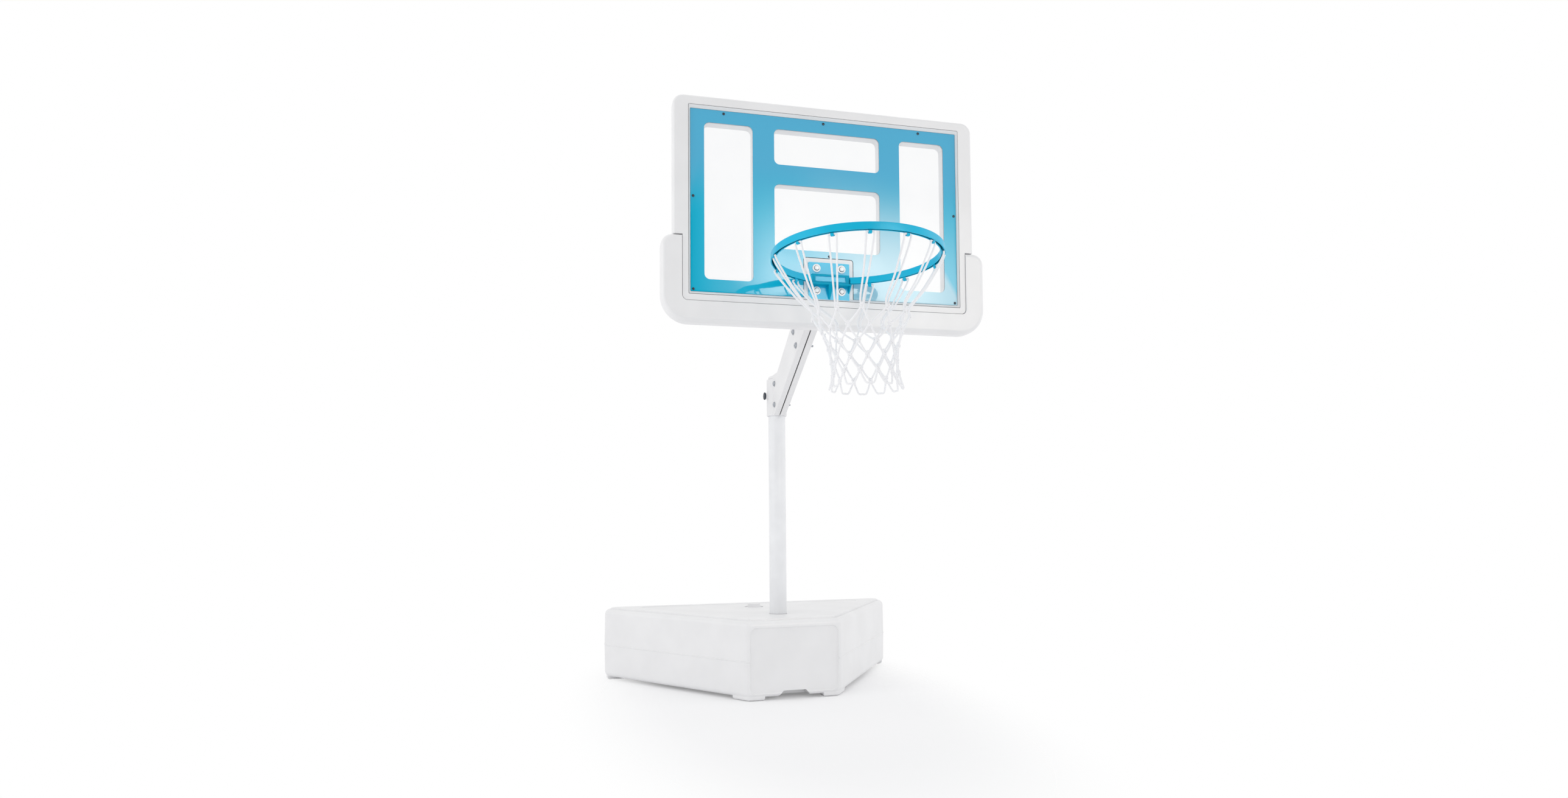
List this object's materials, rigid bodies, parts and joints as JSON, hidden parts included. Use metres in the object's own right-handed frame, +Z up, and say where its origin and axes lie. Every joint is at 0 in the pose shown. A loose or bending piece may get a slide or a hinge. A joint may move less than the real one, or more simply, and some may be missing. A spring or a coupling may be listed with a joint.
{
  "type": "poolside basketball hoop",
  "caption": "Low basketball hoop on a pole that stands in a water-filled tank, with a clamped offset arm, a windowed printed board, a padded lower edge, a steel rim and a cord net.",
  "frame": {"origin": "middle of the footprint, on the ground", "axes": "+Z up, +X to the right of someone who faces the board, +Y from the board towards the tank's back"},
  "size_m": [1.237, 1.6044, 1.9255],
  "materials": {
    "white_moulding": "satin white moulding",
    "white_paint": "semi-gloss white powder coat",
    "blue_paint": "gloss cyan blue paint",
    "dark_steel": "dark zinc",
    "bright_steel": "bright zinc",
    "white_cap": "gloss white",
    "black_rubber": "matte",
    "blue_print": "gloss print, blue above to pale blue below",
    "clear_sheet": "clear polycarbonate",
    "white_cord": "matte braided cord"
  },
  "bodies": {
    "tank": {"base_tank": "white_moulding"},
    "cap": {"filler_cap": "white_moulding", "cap_seal": "black_rubber"},
    "pole": {"pole": "white_paint", "pole_top_plug": "white_moulding", "pole_foot_plug": "black_rubber"},
    "lock": {"lock_bolt": "dark_steel"},
    "carriage": {"arm_left": "white_moulding", "arm_right": "white_moulding", "arm_sleeve_1": "bright_steel", "arm_sleeve_2": "bright_steel", "arm_bolt_1": "bright_steel", "arm_bolt_2": "bright_steel", "arm_bolt_3": "bright_steel", "arm_bolt_4": "bright_steel", "arm_bolt_5": "bright_steel", "arm_bolt_6": "bright_steel", "arm_nut_1": "bright_steel", "arm_nut_2": "bright_steel", "arm_nut_3": "bright_steel", "arm_nut_4": "bright_steel", "arm_nut_5": "bright_steel", "arm_nut_6": "bright_steel", "board_frame": "white_moulding", "clear_sheet": "clear_sheet", "print_film": "blue_print", "bumper": "white_moulding", "sheet_screw_1": "dark_steel", "sheet_screw_2": "dark_steel", "sheet_screw_3": "dark_steel", "sheet_screw_4": "dark_steel", "sheet_screw_5": "dark_steel", "sheet_screw_6": "dark_steel", "sheet_screw_7": "dark_steel", "sheet_screw_8": "dark_steel", "bumper_screw_1": "bright_steel", "bumper_screw_2": "bright_steel", "bumper_screw_3": "bright_steel", "bumper_screw_4": "bright_steel", "rim_bracket": "blue_paint", "rim_ring": "blue_paint", "rim_bolt_1": "white_cap", "rim_bolt_2": "white_cap", "rim_bolt_3": "white_cap", "rim_bolt_4": "white_cap", "rim_washer_1": "white_cap", "rim_washer_2": "white_cap", "rim_washer_3": "white_cap", "rim_washer_4": "white_cap", "rim_nut_1": "bright_steel", "rim_nut_2": "bright_steel", "rim_nut_3": "bright_steel", "rim_nut_4": "bright_steel", "net": "white_cord"}
  },
  "joints": [
    {"name": "pole_swivel", "type": "hinge", "parent": "tank", "child": "pole", "pos_m": [0.0239, 0.3313, 0.288], "axis": [0, 0, 1], "continuous": true},
    {"name": "arm_height", "type": "slide", "parent": "pole", "child": "carriage", "axis": [0, 0, 1], "range_m": [-0.6, 0]},
    {"name": "lock_turn", "type": "hinge", "parent": "carriage", "child": "lock", "pos_m": [0.0239, 0.3313, 1.12], "axis": [1, 0, 0], "continuous": true},
    {"name": "cap_turn", "type": "hinge", "parent": "tank", "child": "cap", "pos_m": [-0.0118, 0.5876, 0.288], "axis": [0, 0, 1], "continuous": true}
  ]
}
